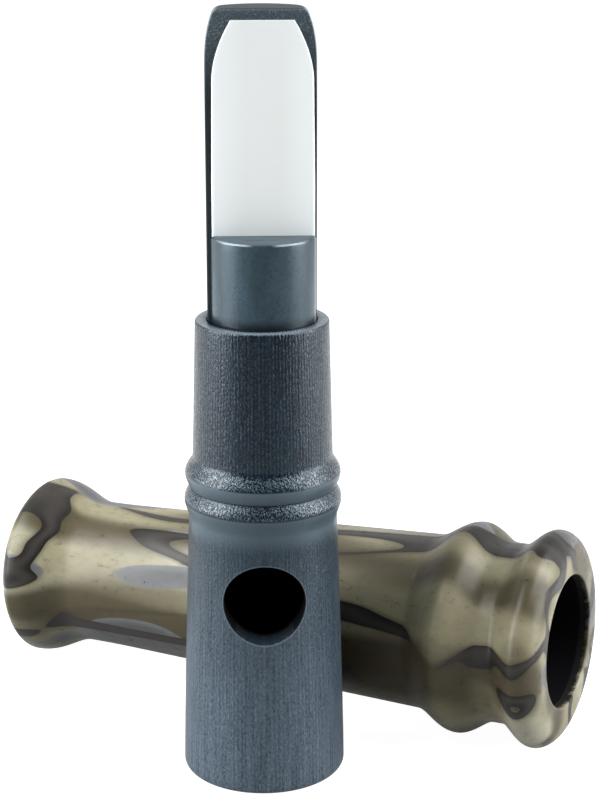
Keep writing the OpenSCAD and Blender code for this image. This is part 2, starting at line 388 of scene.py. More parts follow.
class Finish:
    """A material with one Principled shader, or the world with its Background, and the nodes that
    feed it."""

    def __init__(self, name, kind="materials", **constants):
        self.owner = getattr(bpy.data, kind).new(name)
        self.owner.use_nodes = True
        self.nodes, self.links = self.owner.node_tree.nodes, self.owner.node_tree.links
        self.shader = next(node for node in self.nodes if node.type in ("BSDF_PRINCIPLED", "BACKGROUND"))
        for socket, value in constants.items():
            self.shader.inputs[socket.replace("_", " ")].default_value = value

    def node(self, kind, settings, *values, out=0, **named):
        """Adds a node: its settings first, then the values or wires of its sockets."""
        node = self.nodes.new(kind)
        for key, value in settings.items():
            setattr(node, key, value)
        pairs = list(zip([socket for socket in node.inputs if socket.enabled], values))
        pairs += [(node.inputs[key.replace("_", " ")], value) for key, value in named.items()]
        for socket, value in pairs:
            if isinstance(value, Wire):
                self.links.new(value.socket, socket)
            elif value is not None:
                socket.default_value = value
        outputs = [socket for socket in node.outputs if socket.enabled]
        return Wire(self, outputs[out] if isinstance(out, int) else node.outputs[out])

    def place(self):
        """Where a point is, in the object's own coordinates."""
        return self.node("ShaderNodeTexCoord", {}, out="Object")

    def kept(self, attribute, out="Vector"):
        """What the mesh keeps at each vertex: a place, or through Fac a number."""
        return self.node("ShaderNodeAttribute", {"attribute_name": attribute}, out=out)

    def axes(self, place):
        """The three coordinates of a place."""
        return [self.node("ShaderNodeSeparateXYZ", {}, place, out=i) for i in range(3)]

    def stretch(self, place, scale, shift=(0, 0, 0)):
        """A place multiplied, by one number or one for each axis, and moved."""
        scale = scale if isinstance(scale, tuple) else (scale, scale, scale)
        return self.node("ShaderNodeVectorMath", {"operation": "MULTIPLY_ADD"}, place, scale, shift)

    def noise(self, place, cells, detail=2.0, rough=0.5, shift=(0, 0, 0)):
        """Soft noise with so many patches to one unit of the place along each axis."""
        return self.node("ShaderNodeTexNoise", {}, Vector=self.stretch(place, cells, shift),
                         Scale=1.0, Detail=detail, Roughness=rough)

    def mix(self, part, a, b):
        """Colour a turning into colour b as part goes from 0 to 1."""
        a, b = (color if isinstance(color, Wire) else (*color, 1.0) for color in (a, b))
        return self.node("ShaderNodeMix", {"data_type": "RGBA"}, part, a, b)

    def over(self, color, *layers):
        """A colour with others laid over it in turn, each as far as its part says."""
        for part, above in layers:
            color = self.mix(part, color, above)
        return color

    def rays(self):
        """1 on the camera's rays, on glossy rays and on rays through glass, and 0 on others."""
        return [self.node("ShaderNodeLightPath", {}, out=ray)
                for ray in ("Is Camera Ray", "Is Glossy Ray", "Is Transmission Ray")]

    def feed(self, **wires):
        """Links wires to sockets of the shader."""
        for socket, wire in wires.items():
            self.links.new(wire.socket, self.shader.inputs[socket.replace("_", " ")])

    def line(self, piece, inner):
        """A second, plain black material for the faces in a mask, deep inside the piece."""
        black = Finish(self.owner.name + "_deep", Base_Color=(0.004, 0.004, 0.005, 1.0),
                       Roughness=1.0, Specular_IOR_Level=0.05)
        piece.data.materials.append(black.owner)
        piece.data.polygons.foreach_set("material_index", inner.astype(np.int32))

    def dress(self, piece, color, rough, height=None, depth=0.0):
        """Feeds the shader and puts the material on a piece. height is in units of depth metres."""
        self.feed(Base_Color=color, Roughness=rough)
        if height is not None:
            self.feed(Normal=self.node("ShaderNodeBump", {}, Strength=1.0, Distance=depth, Height=height))
        piece.data.materials.clear()
        piece.data.materials.append(self.owner)


def hand_over(piece, node, body):
    """The piece stands for a node, which is hidden, and rides on its body."""
    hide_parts(node)
    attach(piece, body)


def call_body_shell(v):
    """The call body. Outside, the radius is base + (neck - base) t^1.2 up the grip, then eases over
    the beads, and the plug is a straight cone. The port is a hole in the outer and the inner wall:
    each wall's window is filled with rings that go from the port's circle to the window's border,
    and a tunnel joins the two."""
    columns, half = 288, 54
    shoulder, height = BOARD_LOW[2], BODY_HIGH[2]
    window_reach, rim_bevel, socket_bevel, edge = 6.8 * MM, 0.4 * MM, 0.2 * MM, 0.18 * MM
    exit_top, exit_bevel, chamber_r = 21 * MM, 0.6 * MM, 7.2 * MM
    low, high = v.port_z - window_reach, v.port_z + window_reach
    port_r, base_side = v.port_d / 2, (v.base_d / 2, v.base_round)
    neck = (v.neck_d / 2, v.grip_l)

    def outer(z):
        t = (z - base_side[1]) / (neck[1] - base_side[1])
        return base_side[0] + (neck[0] - base_side[0]) * t ** 1.2

    def inner(z):
        return v.exit_d / 2 + (chamber_r - v.exit_d / 2) * (z - exit_top) / (shoulder - exit_top)

    def wall(radius, *heights):
        z = np.concatenate(heights)
        return np.column_stack([radius(z), z])

    window = np.linspace(low, high, 49)
    base_edge = (v.base_d / 2 - v.base_round, 0.0)
    lower = (v.low_bead_d / 2, LOW_BEAD)
    groove = (v.groove_d / 2, BEAD_GROOVE)
    upper = (v.high_bead_d / 2, HIGH_BEAD)
    plug = (v.plug_d / 2, PLUG_FOOT)
    rim_side = (v.rim_d / 2, height - rim_bevel)
    rim_top = (v.rim_d / 2 - rim_bevel, height)
    socket = v.socket_d / 2
    socket_top = (socket + socket_bevel, height)
    socket_side = (socket, height - socket_bevel)
    exit_side = (v.exit_d / 2, exit_top)
    before = np.vstack([[base_edge], turn(base_edge, base_side, 12),
                        wall(outer, np.linspace(base_side[1], low, 24)[1:-1])])
    between = np.vstack([
        wall(outer, np.linspace(high, neck[1], 6)[1:]),
        ease(neck, lower), fall(lower, groove), climb(groove, upper), ease(upper, plug),
        line(plug, rim_side, 20), turn_in(rim_side, rim_top, 8),
        line(rim_top, socket_top, 3), turn(socket_top, socket_side, 5),
        line(socket_side, (socket, shoulder), 6), line((socket, shoulder), (chamber_r, shoulder), 2),
        wall(inner, np.linspace(shoulder, high, 4)[1:-1])])
    after = np.vstack([wall(inner, np.linspace(low, exit_top, 3)[1:]),
                       line(exit_side, (v.exit_d / 2, exit_bevel), 5),
                       [(v.exit_d / 2 + exit_bevel, 0.0)]])
    profile = np.vstack([before, wall(outer, window), between, wall(inner, window[::-1]), after])
    keep = np.ones((len(profile), columns), bool)
    middle = columns // 2
    for start in (len(before), len(before) + len(window) + len(between)):
        keep[start:start + len(window) - 1, middle - half:middle + half] = False
    shell = Shell()
    shell.grid(lathe(profile, columns), round_columns=True, round_rows=True, keep=keep)

    across = np.linspace(-1, 1, 2 * half + 1)
    up = np.linspace(-1, 1, len(window))
    u = np.concatenate([across[:-1], 0 * up[:-1] + 1, across[:0:-1], 0 * up[:0:-1] - 1])
    w = np.concatenate([0 * across[:-1] - 1, up[:-1], 0 * across[:0:-1] + 1, up[:0:-1]])
    border_angle, border_z = u * half * 2 * pi / columns, v.port_z + w * (high - v.port_z)
    way = np.arctan2(w, u)

    def circle(radius):
        return radius * np.cos(way), v.port_z + radius * np.sin(way)

    def surface_y(radius, x, z):
        return -np.sqrt(radius(z) ** 2 - x ** 2)

    for radius, hole in ((outer, port_r + edge), (inner, port_r)):
        x, z = circle(hole)
        t = np.linspace(0, 1, 11)[:, None] ** 1.3
        angle = (1 - t) * np.arcsin(x / radius(z)) + t * border_angle
        level = (1 - t) * z + t * border_z
        r = radius(level)
        shell.grid(points(r * np.sin(angle), -r * np.cos(angle), level), round_columns=True)
    t = np.linspace(0, pi / 2, 5)[:, None]
    x, z = circle(port_r + edge * (1 - np.sin(t)))
    bend = points(x, surface_y(outer, x, z) + edge * (1 - np.cos(t)), z)
    shell.grid(bend, round_columns=True)
    x, z = circle(port_r)
    t = np.linspace(0, 1, 7)[:, None]
    y = (1 - t) * bend[-1, :, 1] + t * surface_y(inner, x, z)
    shell.grid(points(x, y, z), round_columns=True)
    return shell


def call_body_finish(piece, v):
    """Slate plastic, scored along its length by the turning, rough and speckled on the beads and
    smooth on their flanks. Fine lines hatch it, most of all the plug: the sine of the angle round it
    times their number, broken by nicks. The clear coat lies on them and on the beads' glints. Painted
    shade darkens it towards the plug, in the beads' creases, round the socket and in the port. The
    flanks, the rim and the port's edge are painted lighter as light, and the pale specks on the beads
    are painted glints."""
    finish = Finish("slate_plastic", Specular_IOR_Level=0.33, Specular_Tint=(0.72, 0.88, 1.0, 1.0),
                    Coat_Roughness=0.30, Coat_Tint=(0.85, 0.94, 1.0, 1.0))
    place = finish.place()
    x, y, z = finish.axes(place)
    radius = (x * x + y * y) ** 0.5
    port_r, top = v.port_d / 2, BODY_HIGH[2]

    ring = v.plug_d / 2
    turned = finish.node("ShaderNodeCombineXYZ", {}, x / radius * ring, y / radius * ring, z)
    fold = 1 / v.score_w
    scores = finish.noise(turned, (fold, fold, fold / 30), 1.0)
    dashes = finish.noise(turned, (fold * 1.3, fold * 1.3, fold / 1.6), 1.0, shift=(5.0, 3.0, 8.0))
    nicks = finish.noise(turned, (fold * 1.2, fold * 1.2, fold * 0.7), 1.0, shift=(2.0, 7.0, 4.0))
    grain = finish.noise(place, (4200, 4200, 2800), 1.0, 0.6)
    clouds = finish.noise(place, (120, 120, 60))

    flanks = (z.zone(BEAD_GROOVE, 0.0, 0.3, HIGH_BEAD, 0.05, 0.35)
              + z.zone(v.grip_l, -2.8, 0.2, LOW_BEAD, -0.3, -0.1))
    rough_bead = (z.zone(LOW_BEAD, -0.1, 0.2, BEAD_GROOVE, -0.3, 0.0)
                  + z.zone(HIGH_BEAD, 0.25, 0.45, PLUG_FOOT, -1.3, 0.3))
    # Painted shade: dark lines in the groove between the beads and along their crowns.
    crease_shade = (z.zone(BEAD_GROOVE, -0.18, 0.02, BEAD_GROOVE, -0.02, 0.18)
               + z.zone(HIGH_BEAD, 0.1, 0.3, HIGH_BEAD, 0.23, 0.43)
               + z.zone(LOW_BEAD, -0.28, -0.08, LOW_BEAD, -0.14, 0.06))
    up = z.past(0, 2, 52)
    fine = z.past(0, 38, 50)
    scored = (1 - rough_bead) * (1 - flanks) * (0.75 + 0.25 * fine)
    glint = grain.step(0.50, 0.64) * rough_bead

    turns = x.maths("ARCTAN2", x, y) * v.hatch_lines + (clouds - 0.5) * 5.0
    comb = turns.maths("SINE", turns) * 0.35 + (nicks - 0.5) * 2.6
    hatch = comb.step(-0.15, 0.75) * scored * (0.38 + 0.62 * fine)
    long_streak = (scores - 0.5) * (0.75 + 0.95 * fine)
    short_streak = (dashes - 0.5) * (0.85 + 0.35 * fine)
    streak = (long_streak + short_streak + (hatch - 0.2) * 0.4 * (1 - fine)) * scored
    specks = (grain - 0.5) * (0.8 + 0.1 * fine + 1.9 * rough_bead) * (1 - 0.8 * flanks)
    light = (streak * 1.4 + specks + (clouds - 0.5) * 0.3).step(-0.6, 0.6)

    # The rim's top is painted pale as a highlight, with a dark line of painted shade where the socket starts.
    rim = z.past(top, -0.12, -0.03)
    socket_shade_line = rim * (1 - radius.past(0, 8.0, 8.7))
    # Round the port, off is the distance from its middle. Its edge is painted pale as a highlight and
    # its wall dark as shade, and painted shadow makes it nearly black above a line that slants down into it.
    port_face, shade_slope = 10.8 * MM, 0.296
    front = 1 - y.past(0, -1, 0)
    rise = z - v.port_z
    off = (x * x + rise * rise) ** 0.5
    slant = rise + (y + port_face) * shade_slope
    port_wall_shade = (1 - off.past(port_r, 0.01, 0.08)) * front
    inside = 1 - off.past(port_r, 0.02, 0.10)
    deep = inside * slant.past(0, -4.9, -4.6) * front
    port_edge_highlight = front * off.zone(port_r, 0.05, 0.12, port_r, 0.18, 0.30)

    # Painted shade: the colour darkens from the grip up to the plug.
    dark = finish.mix(up, times(v.grip_tone, 0.42), times(v.plug_tone, 0.3))
    plain = finish.mix(up, v.grip_tone, v.plug_tone)
    pale = finish.mix(up, times(v.grip_tone, 1.4, 0.02), (0.005, 0.012, 0.018))
    color = finish.over(
        dark,
        (light.step(0.0, 0.5), plain),
        (light.step(0.5, 1.0), pale),
        # Painted light: the smooth flanks are lighter, standing in for light the floor throws up onto them.
        (flanks * (0.55 + 0.25 * fine), (0.075, 0.105, 0.125)),
        (crease_shade * 0.8, (0.003, 0.005, 0.007)),
        # Pale specks painted on the beads as glints.
        (glint * 0.22, (0.15, 0.185, 0.20)),
        (rim * (0.2 + grain), (0.16, 0.20, 0.23)),
        (socket_shade_line * 0.85, (0.004, 0.006, 0.008)),
        (port_edge_highlight * 0.5, (0.11, 0.145, 0.17)),
        (port_wall_shade * 0.8, (0.004, 0.007, 0.010)),
        (deep, (0.001, 0.001, 0.002)))
    rough = (0.34 + (grain - 0.5) * 0.28 * (1 - flanks) - 0.19 * rough_bead
             - 0.10 * fine * scored + 0.6 * deep)
    bumps = (grain - 0.5) * (0.4 + 0.85 * rough_bead) * (1 - 0.85 * flanks)
    finish.dress(piece, color, rough, streak * (0.8 - 0.4 * fine) + bumps + hatch * 0.25, v.score_depth)
    finish.feed(Coat_Weight=hatch * 0.72 + glint)

    # The socket's bore and the port's tunnel take the plain black material as painted shade.
    x, y, z = face_middles(piece).T
    tunnel = (y < 0) & (np.hypot(x, z - v.port_z) < port_r + 0.003 * MM) & (z > v.port_z - 0.70 * port_r)
    bore = (np.hypot(x, y) < v.socket_d / 2 - 0.02 * MM) & (z < top - 3 * MM)
    finish.line(piece, bore | tunnel)


def tone_board_shell(v):
    """The tone board as sections along Z. A section is the round back, x = r sin(a), y = r cos(a)
    with |x| held to the outline's half width, a small round at each front edge, and the flat face.
    The channel's own grid goes down one lip, round its floor and up the other lip, and its half
    width sqrt(w^2 - (z - end)^2) closes it at the top."""
    low, top = BOARD_LOW[2], BOARD_HIGH[2]
    r, face = BOARD_HIGH[0], BOARD_LOW[1]
    edge, rim, foot_l = 0.22 * MM, 0.42 * MM, 0.4 * MM
    half = v.channel_w / 2
    end = top - v.channel_end - half
    floor_y = v.channel_depth + face - half
    ramp, tip, crown = top - v.ramp_l, top - v.tip_l, top - 2 * MM
    heights = np.unique(np.round(np.concatenate([
        low + foot_l * np.linspace(0, 1, 4), np.linspace(low + foot_l, ramp, 40),
        np.linspace(ramp, end, 12), end + half * np.sin(np.linspace(0, pi / 2, 15)),
        np.linspace(end + half, tip, 8), np.linspace(tip, crown, 26),
        np.linspace(crown, top - rim, 20), top - rim + rim * np.sin(np.linspace(0, pi / 2, 9))]), 8))

    def section(z):
        down, past_rim = top - z, z - top + rim
        meet_angle = radians(25)
        meet = v.tip_corner_r * (1 - np.sin(meet_angle))

        def side(d):
            return r - v.tip_in * np.clip(1 - d / v.tip_l, 0, 1) ** 3

        corner_x = side(meet) - v.tip_corner_r * np.cos(meet_angle)
        corner = corner_x + np.sqrt(np.clip(v.tip_corner_r ** 2 - (v.tip_corner_r - down) ** 2, 0, None))
        width = np.where(down < meet, corner, side(down))
        inset = np.where(z > top - rim, rim - np.sqrt(np.clip(rim ** 2 - past_rim ** 2, 0, None)), 0)
        foot = np.clip(foot_l - (z - low), 0, None)
        front = face + v.ramp_drop * np.clip((z - ramp) / v.ramp_l, 0, None) + inset
        return width - inset - foot * 0.6, r - inset - foot, front

    z = heights[:, None]
    width, radius, front = section(z)
    spread = np.arccos(np.clip((front + edge) / radius, -1, 1))
    angle = np.linspace(-1, 1, 91)[None, :] * spread
    back_x = np.clip(radius * np.sin(angle), -width, width)
    back = points(back_x, radius * np.cos(angle), z)
    lip = np.where(z < end, half, np.sqrt(np.clip(half ** 2 - (z - end) ** 2, 0, None)))
    t = np.linspace(0, pi / 2, 6)[None, 1:]
    corner_x = back[:, -1:, 0] - edge * (1 - np.cos(t))
    corner = points(corner_x, back[:, -1:, 1] - edge * np.sin(t), z)
    t = np.linspace(0, 1, 7)[None, 1:]
    flat_x = corner[:, -1:, 0] * (1 - t) + lip * t
    flat = points(flat_x, corner[:, -1:, 1], z)
    right = np.concatenate([corner, flat], axis=1)
    mirror = np.array([-1, 1, 1])
    left = right[:, ::-1] * mirror
    outside = np.concatenate([left, back, right], axis=1)
    shell = Shell()
    shell.grid(outside)

    inside = heights <= end + half + 1e-9
    zc, lc = z[inside], lip[inside]
    y_face = outside[inside, -1:, 1]
    t = np.linspace(0, 1, 7)[None, :]
    wall = points(lc, y_face * (1 - t) + floor_y * t, zc)
    t = np.linspace(0, pi, 25)[None, 1:-1]
    trough = points(lc * np.cos(t), floor_y + lc * np.sin(t), zc)
    channel = np.concatenate([wall, trough, wall[:, ::-1] * mirror], axis=1)
    shell.grid(channel)
    shell.cap(np.concatenate([outside[0], channel[0, 1:-1]]))
    shell.cap(outside[-1, 1:])
    return shell


def tone_board_finish(piece, v):
    """Dark moulded plastic with a fine grain, painted paler near the tip as light falls there. The
    upper edge and the narrow strips beside the reed are painted nearly black as shade."""
    finish = Finish("moulded_plastic", Specular_IOR_Level=0.5, Specular_Tint=(0.78, 0.92, 1.0, 1.0))
    place = finish.place()
    x, _, z = finish.axes(place)
    top = BOARD_HIGH[2]
    grain = finish.noise(place, 3600, 2.0, 0.6)
    clouds = finish.noise(place, (260, 260, 160), 3.0, 0.6)
    near_tip = z.past(top, -13, -3)
    crown = z.past(top, -0.3, -0.05)
    strip = abs(x).past(0, 6.7, 7.0) * (1 - near_tip)
    lift = grain.step(0.42, 0.78) * (0.15 + 0.55 * near_tip) + (clouds - 0.4) * 0.35 * near_tip
    # Painted light near the tip, and painted shade on the upper edge and the strips beside the reed.
    color = finish.over(
        finish.mix(near_tip * 0.6, v.board_tone, (0.055, 0.072, 0.084)),
        (lift.step(0.0, 1.0), (0.15, 0.19, 0.215)),
        (crown * 0.9, (0.003, 0.004, 0.005)),
        (strip * 0.85, (0.002, 0.003, 0.004)))
    rough = 0.46 - 0.12 * near_tip + (grain - 0.5) * 0.3 + 0.4 * strip + 0.4 * crown
    finish.dress(piece, color, rough, grain + clouds * 0.5, 0.035 * MM)


def reed_shell(v):
    """The reed as sections along Z: a flat strip of film with round edges. Its half width is
    straight, then a straight taper, then w - (w - tip) t^1.9 over the curved tip."""
    low, top = REED_LOW[2], REED_HIGH[2]
    middle, half = (REED_LOW[0] + REED_HIGH[0]) / 2, (REED_HIGH[0] - REED_LOW[0]) / 2
    depth, centre = (REED_HIGH[1] - REED_LOW[1]) / 2, (REED_HIGH[1] + REED_LOW[1]) / 2
    bend = top - v.reed_curve_l
    taper = bend - v.reed_taper_l
    z = np.concatenate([np.linspace(low, bend, 110), np.linspace(bend, top, 41)[1:]])[:, None]
    narrow = half - v.reed_taper_in
    width = np.where(z < taper, half, half - v.reed_taper_in * (z - taper) / v.reed_taper_l)
    t = np.clip(z - bend, 0, None) / v.reed_curve_l
    width = np.where(z > bend, narrow - (narrow - v.reed_tip_w / 2) * t ** 1.9, width)
    t = np.linspace(-pi / 2, pi / 2, 7)[None, :]
    edge_in, edge_y = depth * 0.6 * (1 - np.cos(t)), depth * np.sin(t[:, ::-1])
    across, face_y = np.linspace(1, -1, 26)[None, 1:-1], np.full((1, 24), depth)
    x = np.concatenate([width - edge_in, width * across, edge_in - width, -width * across], axis=1)
    y = np.concatenate([-edge_y, face_y, edge_y, -face_y], axis=1)
    return rod(points(middle + x, centre + y, z))


def reed_finish(piece, v):
    """Milky film, painted a little paler towards its sides and brighter and bluer along its cut
    edges, a painted sheen.
    """
    finish = Finish("milky_film", Specular_IOR_Level=0.35, Subsurface_Weight=0.15,
                    Subsurface_Radius=(0.6 * MM, 0.6 * MM, 0.7 * MM), Subsurface_Scale=1.0)
    place = finish.place()
    x, _, _ = finish.axes(place)
    out = abs(x - float(REED_LOW[0] + REED_HIGH[0]) / 2)
    clouds = finish.noise(place, (90, 90, 40))
    marks = finish.noise(place, (3000, 3000, 120), 2.0, 0.6)
    pale = tuple(min(1.0, 1.12 * c + 0.012 * i) for i, c in enumerate(v.reed_tone))
    # Painted sheen: paler towards the sides, brighter and bluer at the cut edges.
    body = finish.mix(out.past(0, 2.0, 7.0) * 0.8 + (clouds - 0.5) * 0.5, v.reed_tone, pale)
    edge = out.past(0, 6.5, 7.1) * 0.5
    color = finish.mix(edge, body, (0.84, 0.88, 0.95))
    finish.dress(piece, color, 0.30 + (clouds - 0.5) * 0.1 + (marks - 0.5) * 0.08, marks, 0.002 * MM)


def wedge_shell(v):
    """The wedge as sections along Z: the front round, x = r sin(a), y = -r cos(a) about its own
    middle, a small round at each edge, and the flat back. The radius draws in over the top and the
    foot by r - b (1 - cos(t))."""
    low, top = WEDGE_LOW[2], WEDGE_HIGH[2]
    middle, back = (WEDGE_LOW[0] + WEDGE_HIGH[0]) / 2, WEDGE_HIGH[1]
    r, b, edge = v.wedge_d / 2, v.wedge_bevel, 0.2 * MM
    q = np.linspace(0, pi / 2, 9)
    straight = np.linspace(low + b, top - b, 40)[1:-1]
    z = np.concatenate([low + b - b * np.cos(q), straight, top - b + b * np.sin(q)])[:, None]
    inset = np.concatenate([b * (1 - np.sin(q)), 0 * straight, b * (1 - np.cos(q))])[:, None]
    radius = r - inset
    reach = np.arccos(-(back - edge + v.wedge_out) / radius)
    angle = np.linspace(-1, 1, 97)[None, :] * reach
    front_x, front_y = middle + radius * np.sin(angle), -v.wedge_out - radius * np.cos(angle)
    front = points(front_x, front_y, z)
    t = np.linspace(0, pi / 2, 6)[None, 1:]
    corner_x, corner_y = front_x[:, -1:] - edge * (1 - np.cos(t)), front_y[:, -1:] + edge * np.sin(t)
    corner = points(corner_x, corner_y, z)
    t = np.linspace(0, 1, 12)[None, 1:-1]
    mirror = points(2 * middle - corner_x, corner_y, z)[:, ::-1]
    flat = corner[:, -1:] * (1 - t[..., None]) + mirror[:, :1] * t[..., None]
    return rod(np.concatenate([front, corner, flat, mirror], axis=1))


def wedge_finish(piece, v):
    """Smooth satin plastic with faint clouds and handling marks, a mould line on its top, painted
    highlights on its upper edges and a narrow ring of painted shade where it meets the call body's rim."""
    finish = Finish("satin_plastic", Specular_IOR_Level=0.34, Specular_Tint=(0.78, 0.92, 1.0, 1.0))
    place = finish.place()
    x, y, z = finish.axes(place)
    top, rim, bevel, mould_y = WEDGE_HIGH[2], BODY_HIGH[2], v.wedge_bevel, -4.2 * MM
    clouds = finish.noise(place, (180, 180, 90), 3.0, 0.6)
    marks = finish.noise(place, (2600, 2600, 300), 2.0, 0.6)
    grain = finish.noise(place, 2600, 1.0)
    lift = ((clouds - 0.5) * 1.8 + (grain - 0.5) * 0.9 + (marks - 0.5) * 0.5 + 0.5).step(0.0, 1.0)
    flat = z.past(top, -0.05, -0.02)
    off_mould = abs(y - mould_y).past(0, 0.04, 0.14)
    mould_line = flat * (1 - off_mould) * (1 - abs(x).past(0, 1.6, 2.6))
    # Painted shade: a dark ring just round where the wedge meets the rim.
    rim_shade = z.zone(rim, -1.6, -0.4, rim, 0.4, 1.7)
    # Painted highlights: pale on the top bevel's thirds and a thin line on the side edge.
    bevelled = z.step(top - bevel, top - 0.7 * bevel) * (1 - flat)
    side = (x - float(WEDGE_LOW[0] + WEDGE_HIGH[0]) / 2).past(0, 6.95, 7.15)
    edge_highlight = bevelled * abs(x).zone(0, 1.0, 2.6, 0, 5.2, 6.8) + side * 0.5
    color = finish.over(
        finish.mix(lift, times(v.wedge_tone, 0.75), times(v.wedge_tone, 1.45)),
        (mould_line * 0.6, (0.004, 0.006, 0.007)),
        (rim_shade * 0.8, (0.002, 0.004, 0.006)),
        (edge_highlight * 0.6, (0.30, 0.36, 0.39)))
    rough = 0.31 - (clouds - 0.5) * 0.25 + (grain - 0.5) * 0.1 - 0.2 * bevelled + 0.5 * mould_line
    finish.dress(piece, color, rough, marks * 0.5 + grain * 0.5, 0.02 * MM)


def barrel_shell(v):
    """The barrel upright, with its flange's face at zero. The outside goes over the flange, the
    lanyard groove, the bead, the straight taper that levels out at the waist, r = waist + k d^2 / 2l,
    the flare and the lip. The inside comes back through the mouth, the bore and the socket."""
    socket, bore = MOUNTS["barrel_socket"]["dims"], MOUNTS["barrel_bore"]["dims"]
    socket_r, bore_r, step_l = socket["r_mm"] * MM, bore["r_mm"] * MM, 1.8 * MM
    socket_l = socket["length_mm"] * MM + SOCKET_BEVEL
    face = (v.flange_flat_d / 2, 0.0)
    flange = (v.flange_d / 2, v.flange_crown)
    groove_a = (v.groove_d / 2, v.flange_crown + v.flange_slope)
    groove_b = (v.groove_d / 2, groove_a[1] + v.groove_l)
    bead = (v.bead_d / 2, groove_b[1] + v.bead_rise)
    tube = (v.tube_d / 2, bead[1] + v.bead_fall)
    lip = (v.lip_d / 2, v.length - v.lip_end)
    waist = (v.waist_d / 2, lip[1] - v.flare_l)
    k = (tube[0] - waist[0]) / (waist[1] - v.waist_round_l / 2 - tube[1])
    bend = waist[1] - v.waist_round_l
    bend_r = waist[0] + k * v.waist_round_l / 2
    d = v.waist_round_l * (1 - steps(12))
    mouth_flat, mouth = (v.mouth_flat_d / 2, v.length), (v.mouth_d / 2, v.length)
    throat, bore_end = (bore_r, v.length - v.mouth_l), (bore_r, socket_l + step_l)
    socket_end, socket_edge = (socket_r, socket_l), (socket_r, SOCKET_BEVEL)
    socket_mouth = (socket_r + SOCKET_BEVEL, 0.0)
    profile = np.vstack([
        [face], turn(face, flange, 22), ease(flange, groove_a, 24), line(groove_a, groove_b, 4),
        ease(groove_b, bead, 26), ease(bead, tube, 28), line(tube, (bend_r, bend), 34),
        np.column_stack([waist[0] + k * d ** 2 / (2 * v.waist_round_l), waist[1] - d]),
        ease(waist, lip, 26), fall(lip, mouth_flat, 18), line(mouth_flat, mouth, 3),
        turn(mouth, throat, 10), line(throat, bore_end, 14), line(bore_end, socket_end, 3),
        line(socket_end, socket_edge, 60), turn_in(socket_edge, socket_mouth, 5),
        line(socket_mouth, face, 5)[:-1]])
    shell = Shell()
    shell.grid(lathe(profile, 300), round_columns=True, round_rows=True)
    return shell, socket_r


def lay_barrel(piece, socket_r):
    """Keeps where each point was on the upright barrel, and how far inside its bore, then lays the
    barrel along the axis of its socket. The new place is flange + x side + y up + z axis."""
    mesh = piece.data
    place = np.empty(len(mesh.vertices) * 3)
    mesh.vertices.foreach_get("co", place)
    place = place.reshape(-1, 3)
    radius = np.hypot(place[:, 0], place[:, 1])
    inner = np.where(radius < socket_r + 0.1 * MM, place[:, 2], 0.0)
    mesh.attributes.new("own_place", "FLOAT_VECTOR", "POINT").data.foreach_set("vector", place.ravel())
    mesh.attributes.new("bore_depth", "FLOAT", "POINT").data.foreach_set("value", inner)
    mount = MOUNTS["barrel_socket"]
    axis = -np.array(mount["axis"])
    axis /= np.linalg.norm(axis)
    flange = np.array(mount["pos_m"]) - axis * SOCKET_BEVEL
    side = np.cross(axis, (0, 0, 1))
    side /= np.linalg.norm(side)
    up = np.cross(side, axis)
    laid = flange + place @ np.array([side, up, axis])
    mesh.vertices.foreach_set("co", laid.ravel())
    mesh.update()


def barrel_finish(piece, v, lined):
    """A generic camouflage of long, soft-edged streaks along the barrel: khaki, with cream and
    brown olive shading, grey patches and charcoal streaks. The streaks lie where a noise is close
    to its middle value. The bore is black, with a rough edge where the print ends."""
    finish = Finish("camouflage_print", Specular_IOR_Level=0.22)
    own = finish.kept("own_place")
    depth = finish.kept("bore_depth", "Fac")
    unit = 1 / v.patch_l
    plane = finish.stretch(own, (unit * 1.7, unit * 1.7, unit * 0.36), (9.9, 18.6, 22.4))
    sway = finish.node("ShaderNodeTexNoise", {}, Vector=plane, Scale=0.7, Detail=0.5, out="Color")
    bent = finish.stretch(sway, 0.5, plane)

    def field(shift, scale=1.0, detail=0.6):
        return finish.noise(bent, scale, detail, 0.4, shift)

    shade = field((11.0, 2.0, 5.0), 0.9, 1.2)
    bright = field((4.0, 19.0, 8.0), 1.0, 1.2)
    greys = field((23.0, 6.0, 2.0), 1.1)
    away = abs(field((8.0, 31.0, 14.0), 1.15) - 0.5)
    taper = field((17.0, 3.0, 27.0), 0.9)
    mottle = finish.noise(own, (900, 900, 500), 3.0, 0.6)
    speck = finish.noise(own, 4500, 1.0)

    grey = greys.step(0.615, 0.630)
    grey_shade = finish.mix(greys.step(0.615, 0.70), times(v.grey, 1.1), times(v.grey, 0.6))
    width = 0.058 * taper.step(0.42, 0.62)
    halo = 1 - (away - width).step(0.0, 0.045)
    streak = (1 - (away - width).step(0.0, 0.006)) * width.step(0.004, 0.010)
    char = finish.mix(away.step(0.0, 0.06), times(v.charcoal, 2.8), times(v.charcoal, 0.6))
    print_end = depth + (speck - 0.5) * 0.9 * MM + (mottle - 0.5) * 1.5 * MM
    ragged = print_end.past(0, 0.15, 0.75)
    color = finish.over(
        v.khaki,
        (bright.step(0.50, 0.70) * 0.9, v.cream),
        (shade.step(0.44, 0.62), v.olive),
        (grey, grey_shade),
        (halo * 0.5 * (1 - grey), times(v.olive, 0.6)),
        (streak, char),
        ((mottle - 0.5).step(-0.5, 0.5) * 0.22, (0.02, 0.018, 0.012)),
        (ragged, (0.004, 0.004, 0.004)))
    rough = 0.35 + (mottle - 0.5) * 0.16 + (speck - 0.5) * 0.12 + 0.5 * ragged
    finish.dress(piece, color, rough, speck * 0.5 + mottle, 0.012 * MM)
    finish.line(piece, lined)


